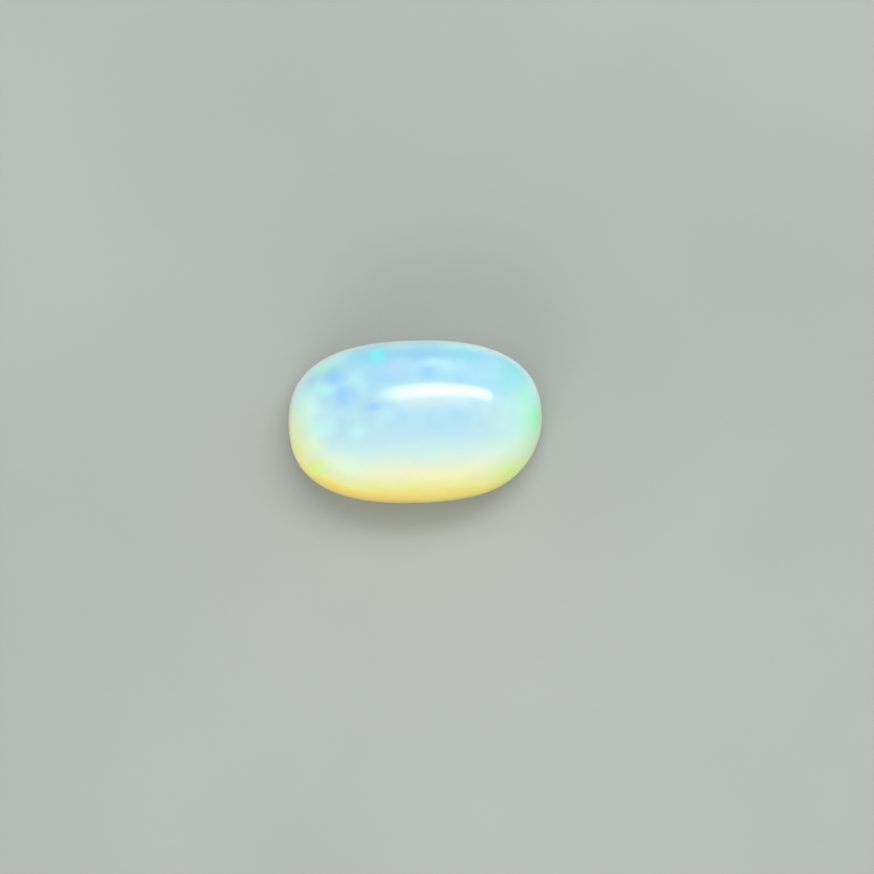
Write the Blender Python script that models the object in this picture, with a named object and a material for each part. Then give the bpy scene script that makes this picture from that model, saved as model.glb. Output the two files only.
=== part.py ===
"""An oval opal cabochon, modelled in metres with +Z up.

The stone is one piece: a high polished dome over a soft girdle, a rounded lower edge and a flat
polished back. It lies on its back with its long axis along X. The origin is under the middle of
its box, on the surface that it lies on.
"""

import math

import bmesh
import bpy
from mathutils import Vector

MM = 0.001

# Driving sizes of the stone. The girdle is the widest line round it.
HALF_LENGTH = 6.0 * MM
HALF_WIDTH = 3.84 * MM
HEIGHT = 4.4 * MM
GIRDLE_HEIGHT = 0.9 * MM

# The flat back's reach as a share of the girdle's
BACK_SHARE = 0.88

# How far the top of the dome stands off the middle, towards +X
APEX_LEAN = 0.25 * MM

# How far the outline and the dome swell past a plain ellipse, as shares of its reach
SHOULDER_SWELL = 0.07
DOME_SWELL = 0.03

# One shoulder of the outline is ground a little flatter than the other three
FLAT_AT = math.radians(-31.5)
FLAT_SPREAD = math.radians(20.0)
FLAT_DEPTH = 0.03

# Facets round the stone, and rings from the back's pole to the dome's
FACETS_ROUND = 96
RINGS = 48

# The sphere's belt below its equator that becomes the rounded lower edge
LOWER_EDGE_BELT = math.radians(30.0)

# A point this near the supporting surface belongs to the flat back
ON_THE_BACK = 0.001 * MM

OPAL_COLOUR = (0.55, 0.80, 0.84, 1.0)
OPAL_ROUGHNESS = 0.12


def clear_scene():
    """Remove the objects that a new file holds."""
    for thing in list(bpy.data.objects):
        bpy.data.objects.remove(thing, do_unlink=True)


def opal_material():
    """The pale blue body colour of the milky stone."""
    material = bpy.data.materials.new("milky_opal")
    material.use_nodes = True
    shader = material.node_tree.nodes["Principled BSDF"]
    shader.inputs["Base Color"].default_value = OPAL_COLOUR
    shader.inputs["Roughness"].default_value = OPAL_ROUGHNESS
    shader.inputs["Metallic"].default_value = 0.0
    material.diffuse_color = OPAL_COLOUR
    return material


def outline_reach(turn):
    """The girdle's reach at this turn round the stone, as a share of a plain ellipse's."""
    away = math.remainder(turn - FLAT_AT, 2.0 * math.pi)
    flat = FLAT_DEPTH * math.exp(-((away / FLAT_SPREAD) ** 2))
    return 1.0 + SHOULDER_SWELL * math.sin(2.0 * turn) ** 2 - flat


def dome_section(climb):
    """The dome's reach, height and lean, at an angle from 0 on the girdle to a right angle on top."""
    swell = 1.0 + DOME_SWELL * math.sin(2.0 * climb) ** 2
    share_up = math.sin(climb) * swell
    height = GIRDLE_HEIGHT + (HEIGHT - GIRDLE_HEIGHT) * share_up
    return math.cos(climb) * swell, height, APEX_LEAN * share_up**2


def underside_section(drop):
    """The reach and height under the girdle, at an angle from 0 on it to a right angle under the middle."""
    if drop < LOWER_EDGE_BELT:
        round_the_edge = 0.5 * math.pi * drop / LOWER_EDGE_BELT
        reach = BACK_SHARE + (1.0 - BACK_SHARE) * math.cos(round_the_edge)
        return reach, GIRDLE_HEIGHT * (1.0 - math.sin(round_the_edge))
    inwards = (drop - LOWER_EDGE_BELT) / (0.5 * math.pi - LOWER_EDGE_BELT)
    return BACK_SHARE * (1.0 - inwards), 0.0


def stone_point(direction):
    """The point of the stone's surface that a point of the unit sphere moves to."""
    turn = math.atan2(direction.y, direction.x)
    angle = math.asin(max(-1.0, min(1.0, direction.z)))
    lean = 0.0
    if angle > 0.0:
        reach, height, lean = dome_section(angle)
    else:
        reach, height = underside_section(-angle)
    # The outline's swell fades towards the middle, so the top of the dome stays smooth
    outline = 1.0 + (outline_reach(turn) - 1.0) * reach**2
    x = HALF_LENGTH * math.cos(turn) * reach * outline + lean
    y = HALF_WIDTH * math.sin(turn) * reach * outline
    return Vector((x, y, height))


def centre_over_origin(mesh):
    """Slide the mesh so that the middle of its box stands over the origin."""
    for axis in (0, 1):
        low = min(vert.co[axis] for vert in mesh.verts)
        high = max(vert.co[axis] for vert in mesh.verts)
        for vert in mesh.verts:
            vert.co[axis] -= 0.5 * (low + high)


def make_stone(collection):
    """The whole stone, shaped from a sphere, with its flat back joined into one face."""
    mesh = bmesh.new()
    bmesh.ops.create_uvsphere(mesh, u_segments=FACETS_ROUND, v_segments=RINGS, radius=1.0)
    for vert in mesh.verts:
        vert.co = stone_point(vert.co.normalized())
    back = [
        face
        for face in mesh.faces
        if all(vert.co.z < ON_THE_BACK for vert in face.verts)
    ]
    bmesh.ops.dissolve_faces(mesh, faces=back, use_verts=True)
    centre_over_origin(mesh)
    bmesh.ops.recalc_face_normals(mesh, faces=mesh.faces)

    data = bpy.data.meshes.new("opal_cabochon")
    mesh.to_mesh(data)
    mesh.free()
    data.shade_smooth()
    data.materials.append(opal_material())
    stone = bpy.data.objects.new("opal_cabochon", data)
    collection.objects.link(stone)
    return stone


def main():
    """Build the stone in a collection of its own."""
    clear_scene()
    collection = bpy.data.collections.new("oval_opal_cabochon")
    bpy.context.scene.collection.children.link(collection)
    make_stone(collection)


main()
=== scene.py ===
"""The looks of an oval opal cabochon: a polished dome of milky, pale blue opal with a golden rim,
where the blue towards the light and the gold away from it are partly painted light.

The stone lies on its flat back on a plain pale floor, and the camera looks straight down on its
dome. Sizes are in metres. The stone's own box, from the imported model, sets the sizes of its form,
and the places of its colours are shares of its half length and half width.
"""

import logging
import math
from collections.abc import Sequence
from dataclasses import dataclass
from enum import Enum
from typing import Any, Union

import bmesh
import bpy
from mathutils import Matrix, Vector, noise

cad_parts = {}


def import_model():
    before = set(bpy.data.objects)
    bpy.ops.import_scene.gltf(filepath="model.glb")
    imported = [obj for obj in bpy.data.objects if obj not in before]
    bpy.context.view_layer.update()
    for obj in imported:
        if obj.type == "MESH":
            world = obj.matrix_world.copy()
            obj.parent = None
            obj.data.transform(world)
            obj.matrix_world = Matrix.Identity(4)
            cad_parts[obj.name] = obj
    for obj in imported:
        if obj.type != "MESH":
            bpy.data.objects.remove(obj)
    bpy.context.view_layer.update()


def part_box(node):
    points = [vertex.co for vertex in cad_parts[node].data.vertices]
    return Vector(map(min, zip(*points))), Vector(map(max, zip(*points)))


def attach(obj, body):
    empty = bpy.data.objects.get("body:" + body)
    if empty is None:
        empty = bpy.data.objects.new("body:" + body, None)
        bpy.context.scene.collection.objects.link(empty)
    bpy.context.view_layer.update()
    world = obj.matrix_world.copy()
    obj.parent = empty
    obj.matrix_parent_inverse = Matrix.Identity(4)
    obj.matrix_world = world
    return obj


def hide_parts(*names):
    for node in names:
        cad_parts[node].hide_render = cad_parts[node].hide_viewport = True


log = logging.getLogger("opal_cabochon")

Point = tuple[float, float]
Colour = tuple[float, float, float, float]
Socket = bpy.types.NodeSocket
Value = Union[float, tuple, Socket]

STONE_NODE = "opal_cabochon"
BODY = "root"
MM = 0.001
WHITE = (1.0, 1.0, 1.0, 1.0)

# A screen's brightest level, and the standard curve from its levels to linear light
FULL_LEVEL = 255.0
CURVE_START = 0.04045
CURVE_START_SLOPE = 12.92
CURVE_OFFSET = 0.055
CURVE_SCALE = 1.055
CURVE_POWER = 2.4

# The sockets of a Mix node that hold its share, its two colours and their mix
MIX_SHARE = 0
MIX_UNDER = 6
MIX_OVER = 7
MIX_RESULT = 2


class Tint(Enum):
    """The colours that play in the stone, as they look on a screen."""

    DEEP_SKY = "93CAEE"
    DEEP_AQUA = "90D6EC"
    SKY = "A8D8EA"
    MILK_BLUE = "B4D8E4"
    LILAC = "B4D1F0"
    AQUA = "90DDE8"
    # FROST is the colour of the painted rim light
    FROST = "E4FFFF"
    PALE_AQUA = "C2EFF2"
    SEA = "ACF6F2"
    TURQUOISE = "74FBF0"
    DEW = "C8F6ED"
    MINT = "B6F7D6"
    SPRING = "98FFC0"
    # The colour of the painted glow under the highlight
    HIGHLIGHT_GLOW = "CDDEDD"
    ICE = "C2E2E1"
    PALE_MINT = "CFE5DA"
    CREAM = "E0E4C3"
    PALE_LEMON = "E4E7B1"
    LEMON = "EBEDA0"
    STRAW = "FBF8B4"
    LIME = "D4F28C"
    SOFT_LIME = "E6F7C6"
    MEADOW = "CFF3CA"
    GOLD = "F0DE70"
    HONEY = "F0D770"
    AMBER = "F0C868"

    @property
    def linear(self) -> Colour:
        """The tint as a shader's linear red, green, blue and alpha.

        Returns:
            The four numbers.
        """
        shares = (level / FULL_LEVEL for level in bytes.fromhex(self.value))
        red, green, blue = (
            ((share + CURVE_OFFSET) / CURVE_SCALE) ** CURVE_POWER
            if share > CURVE_START
            else share / CURVE_START_SLOPE
            for share in shares
        )
        return red, green, blue, 1.0


class NodeBench:
    """Places, sets and joins the nodes of one tree."""

    def __init__(self, tree: bpy.types.NodeTree) -> None:
        """Keep the tree that the nodes go in.

        Args:
            tree: The material's or the group's node tree.
        """
        self.tree = tree

    def put(self, kind: str, **settings: Any) -> bpy.types.Node:
        """Add a node.

        Args:
            kind: The node's Blender type.
            settings: The node's own options by name.

        Returns:
            The new node.
        """
        node = self.tree.nodes.new(kind)
        for name, value in settings.items():
            setattr(node, name, value)
        return node

    def feed(self, socket: Socket, value: Value) -> None:
        """Give a socket its value.

        Args:
            socket: The input to set.
            value: Another node's output, or the number or colour itself.
        """
        if isinstance(value, Socket):
            self.tree.links.new(value, socket)
        else:
            socket.default_value = value

    def maths(self, operation: str, *values: Value) -> Socket:
        """Work out a number.

        Args:
            operation: The Math node's operation.
            values: Its inputs in order.

        Returns:
            The result.
        """
        node = self.put("ShaderNodeMath", operation=operation)
        for socket, value in zip(node.inputs, values):
            self.feed(socket, value)
        return node.outputs[0]

    def ease(self, value: Value, start: float, end: float) -> Socket:
        """Turn a number into a share that rises smoothly from 0 at start to 1 at end.

        Args:
            value: The number to read.
            start: Where the share is still 0.
            end: Where the share reaches 1. It may lie below start.

        Returns:
            The share.
        """
        node = self.put("ShaderNodeMapRange", interpolation_type="SMOOTHSTEP")
        for name, number in (("Value", value), ("From Min", start), ("From Max", end)):
            self.feed(node.inputs[name], number)
        return node.outputs["Result"]

    def blend(self, share: Value, under: Value, over: Value) -> Socket:
        """Lay one colour over another.

        Args:
            share: How much of the upper colour shows, from 0 to 1.
            under: The lower colour.
            over: The upper colour.

        Returns:
            The mixed colour.
        """
        node = self.put("ShaderNodeMix", data_type="RGBA", blend_type="MIX")
        self.feed(node.inputs[MIX_SHARE], share)
        self.feed(node.inputs[MIX_UNDER], under)
        self.feed(node.inputs[MIX_OVER], over)
        return node.outputs[MIX_RESULT]

    def ramp(self, value: Value, between: str, stops: Sequence[tuple[float, Colour]]) -> Socket:
        """Read a colour off a row of stops.

        Args:
            value: The number to read, from 0 to 1.
            between: The Color Ramp node's way to run from stop to stop.
            stops: Two or more stops in order, each with its place from 0 to 1 and its colour.

        Returns:
            The colour.
        """
        node = self.put("ShaderNodeValToRGB")
        node.color_ramp.interpolation = between
        elements = node.color_ramp.elements
        for number, (place, colour) in enumerate(stops):
            element = elements[number] if number < len(elements) else elements.new(1.0)
            element.position = place
            element.color = colour
        self.feed(node.inputs[0], value)
        return node.outputs["Color"]


@dataclass(frozen=True)
class CabochonForm:
    """The shape of the stone: its driving sizes, and the formula for its surface.

    Attributes:
        half_length: Half of the stone's box along X.
        half_width: Half of its box along Y.
        height: The top of the dome, above the flat back.
        girdle_height: The widest line round the stone, above the flat back.
        back_share: The flat back's reach as a share of the girdle's.
        apex_lean: How far the top of the dome stands off the middle, towards +X.
        shoulder_swell: How far the outline swells past a plain ellipse, as a share of its reach.
        dome_swell: How far the dome swells past one, likewise.
        flat_at: Where round the stone one shoulder is ground a little flatter.
        flat_spread: How far that flatter shoulder runs round the stone.
        flat_depth: How deep it is ground, as a share of the reach.
        lower_edge_belt: The belt of the unit sphere that becomes the rounded lower edge.
    """

    half_length: float
    half_width: float
    height: float
    girdle_height: float = 0.9 * MM
    back_share: float = 0.88
    apex_lean: float = 0.25 * MM
    shoulder_swell: float = 0.07
    dome_swell: float = 0.03
    flat_at: float = math.radians(-31.5)
    flat_spread: float = math.radians(20.0)
    flat_depth: float = 0.03
    lower_edge_belt: float = math.radians(30.0)

    def outline_reach(self, turn: float) -> float:
        """The girdle's reach at a turn round the stone.

        Args:
            turn: The angle from the +X end, anticlockwise from above.

        Returns:
            The reach as a share of a plain ellipse's.
        """
        away = math.remainder(turn - self.flat_at, 2.0 * math.pi)
        flat = self.flat_depth * math.exp(-((away / self.flat_spread) ** 2))
        return 1.0 + self.shoulder_swell * math.sin(2.0 * turn) ** 2 - flat

    def section(self, angle: float) -> tuple[float, float, float]:
        """The stone's section, from the middle of its back to the top of its dome.

        Args:
            angle: The angle above the girdle, below 0 under it.

        Returns:
            The reach as a share of the girdle's, the height, and how far the middle leans to +X.
        """
        if angle > 0.0:
            swell = 1.0 + self.dome_swell * math.sin(2.0 * angle) ** 2
            share_up = math.sin(angle) * swell
            height = self.girdle_height + (self.height - self.girdle_height) * share_up
            return math.cos(angle) * swell, height, self.apex_lean * share_up**2
        if -angle < self.lower_edge_belt:
            bend = 0.5 * math.pi * -angle / self.lower_edge_belt
            reach = self.back_share + (1.0 - self.back_share) * math.cos(bend)
            return reach, self.girdle_height * (1.0 - math.sin(bend)), 0.0
        inwards = (-angle - self.lower_edge_belt) / (0.5 * math.pi - self.lower_edge_belt)
        return self.back_share * (1.0 - inwards), 0.0, 0.0

    def surface_point(self, direction: Vector) -> Vector:
        """Where a point of the unit sphere goes on the stone.

        Args:
            direction: The point of the unit sphere.

        Returns:
            The point of the stone's surface.
        """
        turn = math.atan2(direction.y, direction.x)
        reach, height, lean = self.section(math.asin(max(-1.0, min(1.0, direction.z))))
        outline = 1.0 + (self.outline_reach(turn) - 1.0) * reach**2
        x = self.half_length * math.cos(turn) * reach * outline + lean
        y = self.half_width * math.sin(turn) * reach * outline
        return Vector((x, y, height))


@dataclass(frozen=True)
class Flash:
    """A soft patch of colour that runs down through the stone: mostly play-of-colour, a few of them
    painted light.

    Attributes:
        name: The patch's name.
        tint: Its colour.
        place: Its middle, in shares of the stone's half length and half width.
        reach: How far it goes along and across from there, in the same shares.
        strength: How much of its colour shows in its middle.
        turn: How far it is turned, anticlockwise from above.
    """

    name: str
    tint: Tint
    place: Point
    reach: Point
    strength: float
    turn: float = 0.0


@dataclass(frozen=True)
class MilkyOpal:
    """The finish of the stone: cool and milky in the middle, warm along the rim away from the light;
    the cool side towards the light and the warm rim away from it are partly painted light.

    A side, the rim, the foot and the cells are given by the place where their share starts to rise
    from 0 and the place where it reaches 1. Places in MM are distances from the origin, and the other
    sides are in shares of the stone's half length or half width.

    Attributes:
        roughness: How much the polish blurs what it mirrors.
        ior: The surface's index of refraction.
        polish: The strength of the gloss.
        glow_depth: How far light scatters inside the stone.
        glow_reach: The shares of that depth for red, green and blue.
        wobble_scale: How many waves the patches' edges would have in a metre.
        wobble_detail: How many finer waves lie over those.
        wobble_reach: How far they move an edge along the stone and across it.
        cell_size: The size of the faint cells.
        cell_detail: How many finer cells lie in those.
        bright_cells: The levels of the noise that give the cells of a brighter tint.
        deep_cells: The levels of the noise that give the cells of a deeper tint.
        cool_side: Where across the stone the cool cells lie.
        cool_play: Their strength.
        warm_side: Where down the stone the warm cells lie.
        warm_play: Their strength.
        edge_band: The foot, the middle and the top of the band of painted rim light round the stone.
        frosty_side: Where across the stone that band is frosty.
        frost_strength: The frost's strength.
        straw_side: Where across the stone the band starts, straw-coloured up to the frost.
        straw_strength: The straw colour's strength.
        milky_foot: Where down the stone it turns milky.
        milk_strength: How milky it turns there.
        rim_power: The power that makes the rim's outline an oval with full shoulders.
        rim: Where the rim of painted warm glow lies, counted as 0 in the middle and 1 on that oval.
        rim_left: Where along the stone the warm rim lies.
        rim_low: Where across the stone the warm rim lies.
        painted_glow_warmth: How much warmer the rim is.
        end_power: How sharply the warmth rises towards both ends.
        end_warmth: How much warmer the ends are.
        warmth_along: How much warmer the +X end is than the middle.
        warmth: The body's tints from its coolest part, towards the light, to its warmest, away from
            it.
        flashes: The patches of play-of-colour, with a few of painted glow and painted reflection, in
            the order in which they are laid on.
    """

    roughness: float = 0.07
    ior: float = 1.45
    polish: float = 0.8
    glow_depth: float = 2.5 * MM
    glow_reach: tuple[float, float, float] = (1.0, 0.8, 0.62)
    wobble_scale: float = 0.6 / MM
    wobble_detail: float = 2.0
    wobble_reach: Point = (0.09, 0.135)
    cell_size: float = 1.1 * MM
    cell_detail: float = 1.0
    bright_cells: Point = (0.50, 0.72)
    deep_cells: Point = (0.50, 0.28)
    cool_side: Point = (-0.3, 0.2)
    cool_play: float = 0.30
    warm_side: Point = (2.7 * MM, 1.1 * MM)
    warm_play: float = 0.42
    # A pale band of painted rim light round the stone, frosty towards +Y and straw-coloured further
    # round
    edge_band: tuple[float, float, float] = (0.5 * MM, 1.25 * MM, 2.4 * MM)
    frosty_side: Point = (-0.6 * MM, 1.4 * MM)
    frost_strength: float = 0.85
    straw_side: Point = (-3.0 * MM, -1.8 * MM)
    straw_strength: float = 0.6
    milky_foot: Point = (1.5 * MM, 0.0 * MM)
    milk_strength: float = 0.6
    rim_power: float = 2.3
    rim: Point = (0.70, 1.02)
    rim_left: Point = (0.1, -0.8)
    rim_low: Point = (0.7, -0.1)
    # Strength of the painted glow of light through the stone along the lower left rim
    painted_glow_warmth: float = 0.31
    end_power: float = 4.0
    end_warmth: float = 0.24
    warmth_along: float = 0.02
    # Cool towards the light and warm away from it: partly the stone's own tints, partly painted light
    # (the blue of scattered light and the golden glow of light through the stone)
    warmth: tuple[tuple[float, Tint], ...] = (
        (-0.95, Tint.SKY),
        (-0.55, Tint.SKY),
        (-0.15, Tint.MILK_BLUE),
        (0.16, Tint.MILK_BLUE),
        (0.31, Tint.ICE),
        (0.45, Tint.PALE_MINT),
        (0.59, Tint.CREAM),
        (0.71, Tint.PALE_LEMON),
        (0.79, Tint.LEMON),
        (0.89, Tint.GOLD),
        (0.98, Tint.HONEY),
        (1.16, Tint.AMBER),
    )
    flashes: tuple[Flash, ...] = (
        # Painted glow: a whiter patch under the highlight, standing in for light that the highlight
        # spreads into the body
        Flash("painted_highlight_glow", Tint.HIGHLIGHT_GLOW, (0.12, 0.30), (0.60, 0.22), 0.6),
        Flash("aqua_shoulder", Tint.AQUA, (0.82, 0.58), (0.36, 0.44), 0.9),
        Flash("mint_end", Tint.MINT, (1.0, 0.04), (0.42, 0.76), 0.95),
        Flash("lime_end", Tint.SOFT_LIME, (-1.0, 0.06), (0.31, 0.50), 0.95),
        Flash("dew_end", Tint.DEW, (-0.92, 0.30), (0.26, 0.42), 0.9),
        Flash("straw_end", Tint.STRAW, (-1.02, 0.15), (0.12, 0.45), 0.65),
        Flash("meadow_right", Tint.MEADOW, (0.94, -0.42), (0.44, 0.42), 0.75),
        Flash("meadow_left", Tint.MEADOW, (-0.55, -0.52), (0.34, 0.24), 0.35),
        Flash("ice_heart", Tint.ICE, (0.66, -0.02), (0.26, 0.34), 0.6),
        Flash("spring_edge", Tint.SPRING, (0.98, -0.02), (0.12, 0.27), 1.0),
        Flash("mint_shoulder", Tint.MINT, (-0.74, 0.70), (0.24, 0.13), 0.75, 0.6),
        Flash("pale_shoulder", Tint.PALE_AQUA, (-0.58, 0.82), (0.20, 0.10), 0.7, 0.4),
        Flash("pale_crown", Tint.PALE_AQUA, (0.52, 0.87), (0.34, 0.13), 0.65, -0.25),
        # A pale arc and line of painted reflection of a metal jaw, near the top edge
        Flash("painted_reflection_arc", Tint.SEA, (0.42, 0.885), (0.28, 0.09), 0.7, -0.12),
        Flash("painted_reflection_line", Tint.PALE_AQUA, (0.05, 0.925), (0.70, 0.05), 0.15),
        Flash("deep_spark", Tint.DEEP_AQUA, (-0.34, 0.79), (0.26, 0.16), 0.9),
        Flash("turquoise_spark", Tint.TURQUOISE, (-0.285, 0.835), (0.085, 0.125), 1.0),
        # The deeper arc under it, from the same painted reflection of a metal jaw
        Flash("painted_dark_reflection", Tint.DEEP_SKY, (0.06, 0.82), (0.60, 0.11), 0.85),
        Flash("painted_dark_reflection_end", Tint.DEEP_AQUA, (0.43, 0.76), (0.26, 0.11), 0.95, -0.25),
        Flash("deep_left", Tint.DEEP_SKY, (-0.62, 0.56), (0.115, 0.165), 1.0),
        Flash("deep_lower_left", Tint.DEEP_SKY, (-0.55, 0.34), (0.13, 0.20), 0.8),
        Flash("deep_middle", Tint.DEEP_SKY, (-0.325, 0.19), (0.085, 0.085), 0.85),
        Flash("pale_brow", Tint.PALE_AQUA, (0.08, 0.64), (0.34, 0.14), 0.25),
        Flash("lilac_crown", Tint.LILAC, (-0.13, 0.62), (0.20, 0.20), 0.5),
        Flash("deep_crown", Tint.DEEP_SKY, (0.10, 0.61), (0.12, 0.16), 0.8),
        Flash("lilac_left", Tint.LILAC, (-0.74, 0.02), (0.11, 0.15), 0.35),
        Flash("dew_low", Tint.DEW, (-0.74, -0.06), (0.20, 0.22), 0.55),
        Flash("sea_left", Tint.SEA, (-0.69, 0.40), (0.11, 0.13), 0.6),
        Flash("dew_crown", Tint.DEW, (-0.46, 0.56), (0.10, 0.13), 0.2),
        Flash("ice_right", Tint.PALE_AQUA, (0.14, 0.73), (0.14, 0.10), 0.4),
        Flash("dew_speck", Tint.DEW, (-0.45, -0.12), (0.11, 0.16), 0.45),
        Flash("pale_lap", Tint.PALE_AQUA, (-0.20, 0.09), (0.13, 0.12), 0.25),
        Flash("sky_heart", Tint.SKY, (0.33, 0.03), (0.24, 0.24), 0.35),
        Flash("lime_low", Tint.SOFT_LIME, (-0.84, -0.25), (0.18, 0.24), 0.6),
        Flash("sea_end", Tint.SEA, (0.95, 0.30), (0.14, 0.29), 0.5),
        Flash("lime_veil", Tint.LIME, (-0.82, -0.34), (0.16, 0.46), 0.14),
        Flash("lemon_end", Tint.LEMON, (-0.97, -0.34), (0.19, 0.30), 0.85),
        Flash("lime_left", Tint.LIME, (-0.79, -0.53), (0.11, 0.17), 0.85),
        Flash("lime_right", Tint.LIME, (0.74, -0.62), (0.24, 0.20), 0.8, 0.5),
    )

    def flash_group(self) -> bpy.types.NodeTree:
        """Make the group that puts one soft round mask on the stone.

        Returns:
            The group, with a spot, its middle, its reach and its turn as inputs and a mask as output.
        """
        group = bpy.data.node_groups.new("soft_flash", "ShaderNodeTree")
        for name in ("Spot", "Middle", "Reach"):
            group.interface.new_socket(name, in_out="INPUT", socket_type="NodeSocketVector")
        group.interface.new_socket("Turn", in_out="INPUT", socket_type="NodeSocketFloat")
        group.interface.new_socket("Strength", in_out="INPUT", socket_type="NodeSocketFloat")
        group.interface.new_socket("Mask", in_out="OUTPUT", socket_type="NodeSocketFloat")
        bench = NodeBench(group)
        given = bench.put("NodeGroupInput").outputs
        away = bench.put("ShaderNodeVectorMath", operation="SUBTRACT")
        bench.feed(away.inputs[0], given["Spot"])
        bench.feed(away.inputs[1], given["Middle"])
        turned = bench.put("ShaderNodeVectorRotate", rotation_type="Z_AXIS")
        bench.feed(turned.inputs["Vector"], away.outputs[0])
        bench.feed(turned.inputs["Angle"], given["Turn"])
        scaled = bench.put("ShaderNodeVectorMath", operation="DIVIDE")
        bench.feed(scaled.inputs[0], turned.outputs[0])
        bench.feed(scaled.inputs[1], given["Reach"])
        length = bench.put("ShaderNodeVectorMath", operation="LENGTH")
        bench.feed(length.inputs[0], scaled.outputs[0])
        soft = bench.ease(length.outputs["Value"], 1.0, 0.0)
        mask = bench.maths("MULTIPLY", soft, given["Strength"])
        out = bench.put("NodeGroupOutput")
        bench.feed(out.inputs["Mask"], mask)
        return group

    def spot_on_stone(self, bench: NodeBench, form: CabochonForm) -> tuple[Socket, Socket]:
        """Place the pattern on the stone, in shares of its half length and half width.

        Args:
            bench: The material's nodes.
            form: The stone's sizes.

        Returns:
            The spot with wavy edges for the patches, and the plain one.
        """
        place = bench.put("ShaderNodeTexCoord").outputs["Object"]
        shares = bench.put("ShaderNodeMapping")
        bench.feed(shares.inputs["Vector"], place)
        bench.feed(shares.inputs["Scale"], (1.0 / form.half_length, 1.0 / form.half_width, 0.0))
        wobble = bench.put("ShaderNodeTexNoise")
        bench.feed(wobble.inputs["Vector"], place)
        bench.feed(wobble.inputs["Scale"], self.wobble_scale)
        bench.feed(wobble.inputs["Detail"], self.wobble_detail)
        centred = bench.put("ShaderNodeVectorMath", operation="SUBTRACT")
        bench.feed(centred.inputs[0], wobble.outputs["Color"])
        bench.feed(centred.inputs[1], (0.5, 0.5, 0.5))
        sized = bench.put("ShaderNodeVectorMath", operation="MULTIPLY")
        bench.feed(sized.inputs[0], centred.outputs[0])
        bench.feed(sized.inputs[1], (*self.wobble_reach, 0.0))
        moved = bench.put("ShaderNodeVectorMath", operation="ADD")
        bench.feed(moved.inputs[0], shares.outputs[0])
        bench.feed(moved.inputs[1], sized.outputs[0])
        return moved.outputs[0], shares.outputs[0]

    def play(self, bench: NodeBench, spot: Socket, colour: Socket) -> Socket:
        """Let faint cells of other tints play in the cool part of the stone and low on its warm side.

        Args:
            bench: The material's nodes.
            spot: The spot on the stone.
            colour: The body's colour.

        Returns:
            The colour with its cells.
        """
        place = bench.put("ShaderNodeTexCoord").outputs["Object"]
        cells = bench.put("ShaderNodeTexNoise")
        bench.feed(cells.inputs["Vector"], place)
        bench.feed(cells.inputs["Scale"], 1.0 / self.cell_size)
        bench.feed(cells.inputs["Detail"], self.cell_detail)
        split = bench.put("ShaderNodeSeparateXYZ")
        bench.feed(split.inputs[0], spot)
        heights = bench.put("ShaderNodeSeparateXYZ")
        bench.feed(heights.inputs[0], place)
        cool = bench.ease(split.outputs["Y"], *self.cool_side)
        side = bench.ease(heights.outputs["Z"], *self.warm_side)
        warm = bench.maths("MULTIPLY", bench.maths("SUBTRACT", 1.0, cool), side)
        parts = (
            (cool, self.cool_play, Tint.PALE_AQUA, Tint.DEEP_SKY),
            (warm, self.warm_play, Tint.LIME, Tint.LEMON),
        )
        for part, strength, bright, deep in parts:
            for span, tint in ((self.bright_cells, bright), (self.deep_cells, deep)):
                share = bench.maths("MULTIPLY", bench.ease(cells.outputs["Fac"], *span), part)
                colour = bench.blend(bench.maths("MULTIPLY", share, strength), colour, tint.linear)
        return colour

    def with_edge(self, bench: NodeBench, colour: Socket) -> Socket:
        """Paint rim light as a pale band round the outermost part of the stone, frosty towards +Y and
        straw-coloured further round, and turn the foot below it milky.

        Args:
            bench: The material's nodes.
            colour: The colour so far.

        Returns:
            The colour with its painted rim light and its milky foot.
        """
        split = bench.put("ShaderNodeSeparateXYZ")
        bench.feed(split.inputs[0], bench.put("ShaderNodeTexCoord").outputs["Object"])
        across, height = split.outputs["Y"], split.outputs["Z"]
        milky = bench.maths("MULTIPLY", bench.ease(height, *self.milky_foot), self.milk_strength)
        colour = bench.blend(milky, colour, Tint.CREAM.linear)
        # The painted rim light: a pale band round the stone about its girdle
        foot, middle, top = self.edge_band
        rising, falling = bench.ease(height, foot, middle), bench.ease(height, top, middle)
        band = bench.maths("MULTIPLY", rising, falling)
        frosty = bench.ease(across, *self.frosty_side)
        warm = bench.maths("SUBTRACT", bench.ease(across, *self.straw_side), frosty)
        for side, strength, tint in (
            (frosty, self.frost_strength, Tint.FROST),
            (warm, self.straw_strength, Tint.STRAW),
        ):
            share = bench.maths("MULTIPLY", bench.maths("MULTIPLY", band, side), strength)
            colour = bench.blend(share, colour, tint.linear)
        return colour

    def body_colour(self, bench: NodeBench, spot: Socket, plain: Socket) -> Socket:
        """Colour the body from cool to warm, the warm part following the rim: cool towards +Y, where
        the light comes from, and warm towards -Y and along the lower rim, partly the stone's own
        tints and partly painted light.

        Args:
            bench: The material's nodes.
            spot: The spot on the stone, with its wobble.
            plain: The spot on the stone, without it.

        Returns:
            The body's colour.
        """
        split = bench.put("ShaderNodeSeparateXYZ")
        bench.feed(split.inputs[0], spot)
        along, across = split.outputs["X"], split.outputs["Y"]
        clean = bench.put("ShaderNodeSeparateXYZ")
        bench.feed(clean.inputs[0], plain)
        u, v = (
            bench.maths("POWER", bench.maths("ABSOLUTE", clean.outputs[axis]), self.rim_power)
            for axis in ("X", "Y")
        )
        rim = bench.ease(bench.maths("ADD", u, v), *self.rim)
        left = bench.ease(clean.outputs["X"], *self.rim_left)
        low = bench.ease(clean.outputs["Y"], *self.rim_low)
        # Painted glow of light through the stone, along the lower left rim away from the lamp
        painted_glow_rim = bench.maths("MULTIPLY", bench.maths("MULTIPLY", rim, left), low)
        ends = bench.maths("POWER", bench.maths("ABSOLUTE", along), self.end_power)
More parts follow.
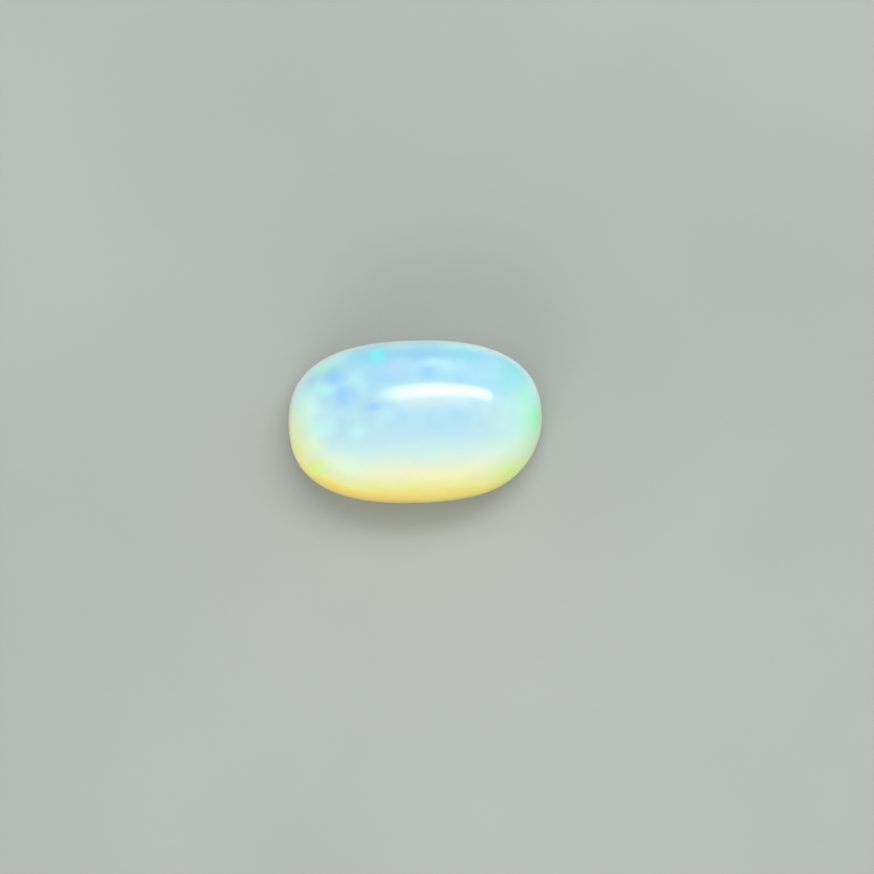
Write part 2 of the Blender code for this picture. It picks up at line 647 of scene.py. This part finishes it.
        # Warmth rises away from the light, towards -Y; this cool-to-warm shift is partly painted
        # light
        warmth = bench.maths("SUBTRACT", bench.maths("MULTIPLY", ends, self.end_warmth), across)
        warmth = bench.maths("ADD", warmth, bench.maths("MULTIPLY", along, self.warmth_along))
        warmth = bench.maths("ADD", warmth, bench.maths("MULTIPLY", painted_glow_rim, self.painted_glow_warmth))
        coolest, warmest = self.warmth[0][0], self.warmth[-1][0]
        span = bench.put("ShaderNodeMapRange")
        bench.feed(span.inputs["Value"], warmth)
        bench.feed(span.inputs["From Min"], coolest)
        bench.feed(span.inputs["From Max"], warmest)
        stops = [((at - coolest) / (warmest - coolest), tint.linear) for at, tint in self.warmth]
        return bench.ramp(span.outputs["Result"], "B_SPLINE", stops)

    def with_flashes(self, bench: NodeBench, spot: Socket, colour: Socket) -> Socket:
        """Lay each flash over the body.

        Args:
            bench: The material's nodes.
            spot: The spot on the stone, with its wobble.
            colour: The body's colour.

        Returns:
            The colour with its flashes.
        """
        group = self.flash_group()
        for flash in self.flashes:
            mask = bench.put("ShaderNodeGroup", node_tree=group, name=flash.name)
            bench.feed(mask.inputs["Spot"], spot)
            bench.feed(mask.inputs["Middle"], (*flash.place, 0.0))
            bench.feed(mask.inputs["Reach"], (*flash.reach, 1.0))
            bench.feed(mask.inputs["Turn"], -flash.turn)
            bench.feed(mask.inputs["Strength"], flash.strength)
            colour = bench.blend(mask.outputs["Mask"], colour, flash.tint.linear)
        return colour

    def material(self, form: CabochonForm) -> bpy.types.Material:
        """Make the stone's material.

        Args:
            form: The stone's sizes.

        Returns:
            The material.
        """
        made = bpy.data.materials.new("milky_opal")
        made.use_nodes = True
        bench = NodeBench(made.node_tree)
        shader = made.node_tree.nodes["Principled BSDF"]
        spot, plain = self.spot_on_stone(bench, form)
        colour = self.body_colour(bench, spot, plain)
        colour = self.play(bench, plain, colour)
        colour = self.with_flashes(bench, spot, colour)
        colour = self.with_edge(bench, colour)
        bench.feed(shader.inputs["Base Color"], colour)
        shader.inputs["Roughness"].default_value = self.roughness
        shader.inputs["IOR"].default_value = self.ior
        shader.inputs["Specular IOR Level"].default_value = self.polish
        shader.subsurface_method = "RANDOM_WALK"
        shader.inputs["Subsurface Weight"].default_value = 1.0
        shader.inputs["Subsurface Radius"].default_value = self.glow_reach
        shader.inputs["Subsurface Scale"].default_value = self.glow_depth
        return made


@dataclass
class OpalCabochon:
    """The whole stone, as one smooth closed mesh.

    Attributes:
        form: The stone's shape.
        finish: Its finish.
        squares_a_side: The squares along each side of the cube that it starts from.
        hand_wave: The height of the waves that hand polishing leaves on the dome.
        hand_wave_size: The length of those waves.
    """

    form: CabochonForm
    finish: MilkyOpal
    squares_a_side: int = 96
    hand_wave: float = 0.008 * MM
    hand_wave_size: float = 3.0 * MM

    def rounded_cube(self) -> bmesh.types.BMesh:
        """Divide a cube finely and blow it up into a sphere, so that no pole shows in the polish.

        Returns:
            The unit sphere's mesh.
        """
        mesh = bmesh.new()
        bmesh.ops.create_cube(mesh, size=2.0)
        bmesh.ops.subdivide_edges(
            mesh, edges=mesh.edges, cuts=self.squares_a_side - 1, use_grid_fill=True
        )
        for vert in mesh.verts:
            vert.co.normalize()
        return mesh

    def shape(self, mesh: bmesh.types.BMesh) -> None:
        """Move the sphere's points to the stone's surface, with the faint waves of hand polishing.

        Args:
            mesh: The unit sphere's mesh.
        """
        for vert in mesh.verts:
            vert.co = self.form.surface_point(vert.co)
        for axis in (0, 1):
            low = min(vert.co[axis] for vert in mesh.verts)
            high = max(vert.co[axis] for vert in mesh.verts)
            bmesh.ops.translate(
                mesh,
                verts=mesh.verts,
                vec=Vector(-0.5 * (low + high) if n == axis else 0.0 for n in range(3)),
            )
        top = self.form.height - self.form.girdle_height
        for vert in mesh.verts:
            share_up = max(0.0, (vert.co.z - self.form.girdle_height) / top)
            wave = noise.noise(vert.co / self.hand_wave_size)
            vert.co.z += self.hand_wave * wave * share_up

    def build(self) -> bpy.types.Object:
        """Make the stone and put it in the scene.

        Returns:
            The stone's object.
        """
        mesh = self.rounded_cube()
        self.shape(mesh)
        bmesh.ops.recalc_face_normals(mesh, faces=mesh.faces)
        data = bpy.data.meshes.new("polished_opal")
        mesh.to_mesh(data)
        mesh.free()
        data.shade_smooth()
        data.materials.append(self.finish.material(self.form))
        stone = bpy.data.objects.new("polished_opal", data)
        bpy.context.scene.collection.objects.link(stone)
        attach(stone, BODY)
        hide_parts(STONE_NODE)
        return stone


@dataclass(frozen=True)
class PalePaper:
    """The finish of the floor: matt pale grey with a faint mottle and a fine grain.

    Attributes:
        darker: The mottle's darker grey.
        lighter: Its lighter grey.
        mottle_size: The size of the mottle.
        mottle_detail: How many finer mottles lie over it.
        mottle_span: Where in the noise the grey starts to lighten and is lightest.
        grain_size: The size of the grain.
        grain_height: How high the grain stands.
        roughness: How matt the floor is.
        polish: The strength of what gloss it has.
    """

    darker: Colour = (0.355, 0.380, 0.355, 1.0)
    lighter: Colour = (0.425, 0.455, 0.425, 1.0)
    mottle_size: float = 40.0 * MM
    mottle_detail: float = 4.0
    mottle_span: Point = (0.1, 0.9)
    grain_size: float = 0.35 * MM
    grain_height: float = 0.01 * MM
    roughness: float = 0.9
    polish: float = 0.1

    def material(self) -> bpy.types.Material:
        """Make the floor's material.

        Returns:
            The material.
        """
        made = bpy.data.materials.new("pale_paper")
        made.use_nodes = True
        bench = NodeBench(made.node_tree)
        shader = made.node_tree.nodes["Principled BSDF"]
        place = bench.put("ShaderNodeTexCoord").outputs["Object"]
        mottle = bench.put("ShaderNodeTexNoise")
        bench.feed(mottle.inputs["Vector"], place)
        bench.feed(mottle.inputs["Scale"], 1.0 / self.mottle_size)
        bench.feed(mottle.inputs["Detail"], self.mottle_detail)
        share = bench.ease(mottle.outputs["Fac"], *self.mottle_span)
        bench.feed(shader.inputs["Base Color"], bench.blend(share, self.darker, self.lighter))
        grain = bench.put("ShaderNodeTexNoise")
        bench.feed(grain.inputs["Vector"], place)
        bench.feed(grain.inputs["Scale"], 1.0 / self.grain_size)
        relief = bench.put("ShaderNodeBump")
        bench.feed(relief.inputs["Distance"], self.grain_height)
        bench.feed(relief.inputs["Height"], grain.outputs["Fac"])
        bench.feed(shader.inputs["Normal"], relief.outputs["Normal"])
        shader.inputs["Roughness"].default_value = self.roughness
        shader.inputs["Specular IOR Level"].default_value = self.polish
        return made


@dataclass
class Floor:
    """The plain floor that the stone lies on.

    Attributes:
        finish: The floor's finish.
        side: The length of its side.
    """

    finish: PalePaper
    side: float = 1.6

    def build(self) -> bpy.types.Object:
        """Make the floor and put it in the scene.

        Returns:
            The floor's object.
        """
        mesh = bmesh.new()
        bmesh.ops.create_grid(mesh, x_segments=1, y_segments=1, size=0.5 * self.side)
        data = bpy.data.meshes.new("floor")
        mesh.to_mesh(data)
        mesh.free()
        data.materials.append(self.finish.material())
        floor = bpy.data.objects.new("floor", data)
        bpy.context.scene.collection.objects.link(floor)
        return floor


@dataclass(frozen=True)
class SoftBox:
    """One flat lamp that faces the stone, with a face that fades towards its edges.

    Attributes:
        name: The lamp's name.
        lean: How far it stands from straight above the stone.
        turn: Where it stands round the stone, from +Y towards +X.
        distance: How far off it stands.
        length: The length of its face.
        width: The width of its face.
        radiance: How bright its face is.
        slide: How far it is moved along X after it is aimed.
        end_fades: The shares of its length over which its two ends fade.
        fade: Places across its width, from 0 to 1, with the share of its brightness at each.
        bow: How far its bright strip bends by its two ends, as a share of its width.
        shows_in_gloss: Whether the polish mirrors it.
    """

    name: str
    lean: float
    turn: float
    distance: float
    length: float
    width: float
    radiance: float
    slide: float = 0.0
    end_fades: Point = (0.2, 0.2)
    fade: tuple[Point, ...] = ((0.0, 0.0), (0.5, 1.0), (1.0, 0.0))
    bow: float = 0.0
    shows_in_gloss: bool = True

    def soften(self, light: bpy.types.AreaLight) -> None:
        """Fade the lamp's face, so that its reflection has no hard outline.

        Args:
            light: The lamp's light.
        """
        light.use_nodes = True
        bench = NodeBench(light.node_tree)
        face = bench.put("ShaderNodeSeparateXYZ")
        bench.feed(face.inputs[0], bench.put("ShaderNodeNewGeometry").outputs["Parametric"])
        near = bench.ease(face.outputs["X"], 0.0, self.end_fades[0])
        far = bench.ease(face.outputs["X"], 1.0, 1.0 - self.end_fades[1])
        off_middle = bench.maths("MULTIPLY_ADD", face.outputs["X"], 2.0, -1.0)
        bent = bench.maths("MULTIPLY", bench.maths("MULTIPLY", off_middle, off_middle), self.bow)
        across = bench.maths("SUBTRACT", face.outputs["Y"], bent)
        stops = [(at, (share, share, share, 1.0)) for at, share in self.fade]
        ends = bench.maths("MULTIPLY", near, far)
        strength = bench.maths("MULTIPLY", bench.ramp(across, "EASE", stops), ends)
        bench.feed(light.node_tree.nodes["Emission"].inputs["Strength"], strength)

    def build(self) -> bpy.types.Object:
        """Make the lamp and aim it at the stone.

        Returns:
            The lamp's object.
        """
        light = bpy.data.lights.new(self.name, "AREA")
        light.shape = "RECTANGLE"
        light.size = self.length
        light.size_y = self.width
        light.energy = self.radiance * math.pi * self.length * self.width
        self.soften(light)
        lamp = bpy.data.objects.new(self.name, light)
        away = Vector(
            (
                math.sin(self.lean) * math.sin(self.turn),
                math.sin(self.lean) * math.cos(self.turn),
                math.cos(self.lean),
            )
        )
        lamp.rotation_euler = away.to_track_quat("Z", "Y").to_euler()
        lamp.location = away * self.distance + Vector((self.slide, 0.0, 0.0))
        lamp.visible_glossy = self.shows_in_gloss
        bpy.context.scene.collection.objects.link(lamp)
        return lamp


@dataclass(frozen=True)
class Sky:
    """The light from all round: even, with a soft brighter belt above the horizon.

    Attributes:
        even: The brightness everywhere.
        belt: How much brighter the middle of the belt is.
        belt_narrowness: How fast the belt fades with height.
        front: How much stronger the belt is straight towards -Y, as a share.
    """

    even: float = 0.40
    belt: float = 0.46
    belt_narrowness: float = 3.0
    front: float = 0.6

    def build(self) -> None:
        """Make the world and its light."""
        world = bpy.data.worlds.new("soft_sky")
        world.use_nodes = True
        bench = NodeBench(world.node_tree)
        way = bench.put("ShaderNodeSeparateXYZ")
        bench.feed(way.inputs[0], bench.put("ShaderNodeTexCoord").outputs["Generated"])
        up = bench.maths("MAXIMUM", way.outputs["Z"], 0.0)
        narrowed = bench.maths("POWER", bench.maths("SUBTRACT", 1.0, up), self.belt_narrowness)
        middle = 1.0 / (self.belt_narrowness + 1.0)
        brightest = middle * (1.0 - middle) ** self.belt_narrowness
        belt = bench.maths("MULTIPLY", bench.maths("MULTIPLY", up, narrowed), self.belt / brightest)
        forward = bench.maths("MAXIMUM", bench.maths("MULTIPLY", way.outputs["Y"], -1.0), 0.0)
        lift = bench.maths("MULTIPLY_ADD", forward, self.front, 1.0)
        strength = bench.maths("MULTIPLY_ADD", belt, lift, self.even)
        bench.feed(world.node_tree.nodes["Background"].inputs["Strength"], strength)
        world.node_tree.nodes["Background"].inputs["Color"].default_value = WHITE
        bpy.context.scene.world = world


@dataclass
class Studio:
    """The soft light round the stone.

    Attributes:
        sky: The light from all round.
        boxes: The lamps: the one whose reflection is the highlight, and a low one to fill the shade.
    """

    sky: Sky = Sky()
    boxes: tuple[SoftBox, ...] = (
        SoftBox(
            "strip_box",
            lean=math.radians(27.6),
            turn=math.radians(-3.9),
            distance=0.30,
            length=0.406,
            width=0.255,
            radiance=8.4,
            slide=0.098,
            end_fades=(0.16, 0.27),
            fade=((0.02, 0.0), (0.33, 1.0), (0.59, 0.15), (1.0, 0.0)),
            bow=0.11,
        ),
        SoftBox(
            "fill_box",
            lean=math.radians(64.0),
            turn=math.radians(202.0),
            distance=0.30,
            length=0.30,
            width=0.30,
            radiance=3.3,
            shows_in_gloss=False,
        ),
    )

    def build(self) -> None:
        """Set the sky and place the lamps, with colours shown as they are."""
        bpy.context.scene.view_settings.view_transform = "Standard"
        self.sky.build()
        for box in self.boxes:
            box.build()


@dataclass(frozen=True)
class Framing:
    """Where the photograph has the stone, in pixels of its square frame.

    Attributes:
        side: The frame's side.
        stone_middle: The stone's middle, from the frame's left and top edges.
        stone_length: The stone's length.
        roll: The angle by which the stone's long axis rises to the right.
    """

    side: float = 874.0
    stone_middle: Point = (415.35, 421.6)
    stone_length: float = 254.2
    roll: float = 0.028


@dataclass
class OverheadCamera:
    """The camera, straight above the stone.

    Attributes:
        form: The stone's shape.
        framing: Where the picture has the stone.
        height: How far it stands above the girdle.
        sensor: Its sensor's side in millimetres.
        nearest: The nearest thing that it sees.
        farthest: The farthest.
    """

    form: CabochonForm
    framing: Framing
    height: float = 250.0 * MM
    sensor: float = 36.0
    nearest: float = 0.01
    farthest: float = 10.0

    def build(self) -> bpy.types.Object:
        """Make the camera, frame the stone as the photograph does, and use it.

        Returns:
            The camera's object.
        """
        metres_a_pixel = 2.0 * self.form.half_length / self.framing.stone_length
        right = Vector((math.cos(self.framing.roll), -math.sin(self.framing.roll), 0.0))
        up = Vector((math.sin(self.framing.roll), math.cos(self.framing.roll), 0.0))
        middle = 0.5 * self.framing.side
        across = (middle - self.framing.stone_middle[0]) * metres_a_pixel
        down = (middle - self.framing.stone_middle[1]) * metres_a_pixel
        data = bpy.data.cameras.new("overhead_camera")
        data.sensor_width = self.sensor
        data.lens = self.sensor * self.height / (self.framing.side * metres_a_pixel)
        data.clip_start = self.nearest
        data.clip_end = self.farthest
        camera = bpy.data.objects.new("overhead_camera", data)
        camera.location = right * across - up * down
        camera.location.z = self.form.girdle_height + self.height
        camera.rotation_euler = (0.0, 0.0, -self.framing.roll)
        bpy.context.scene.collection.objects.link(camera)
        bpy.context.scene.camera = camera
        return camera


def main() -> None:
    """Build the stone, the floor, the light and the camera, in that order."""
    logging.basicConfig(level=logging.INFO, format="%(name)s %(message)s")
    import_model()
    low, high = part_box(STONE_NODE)
    form = CabochonForm(0.5 * (high.x - low.x), 0.5 * (high.y - low.y), high.z - low.z)
    for piece in (OpalCabochon(form, MilkyOpal()), Floor(PalePaper())):
        made = piece.build()
        log.info("%s: %d faces", made.name, len(made.data.polygons))
    Studio().build()
    OverheadCamera(form, Framing()).build()


if __name__ == "__main__":
    main()
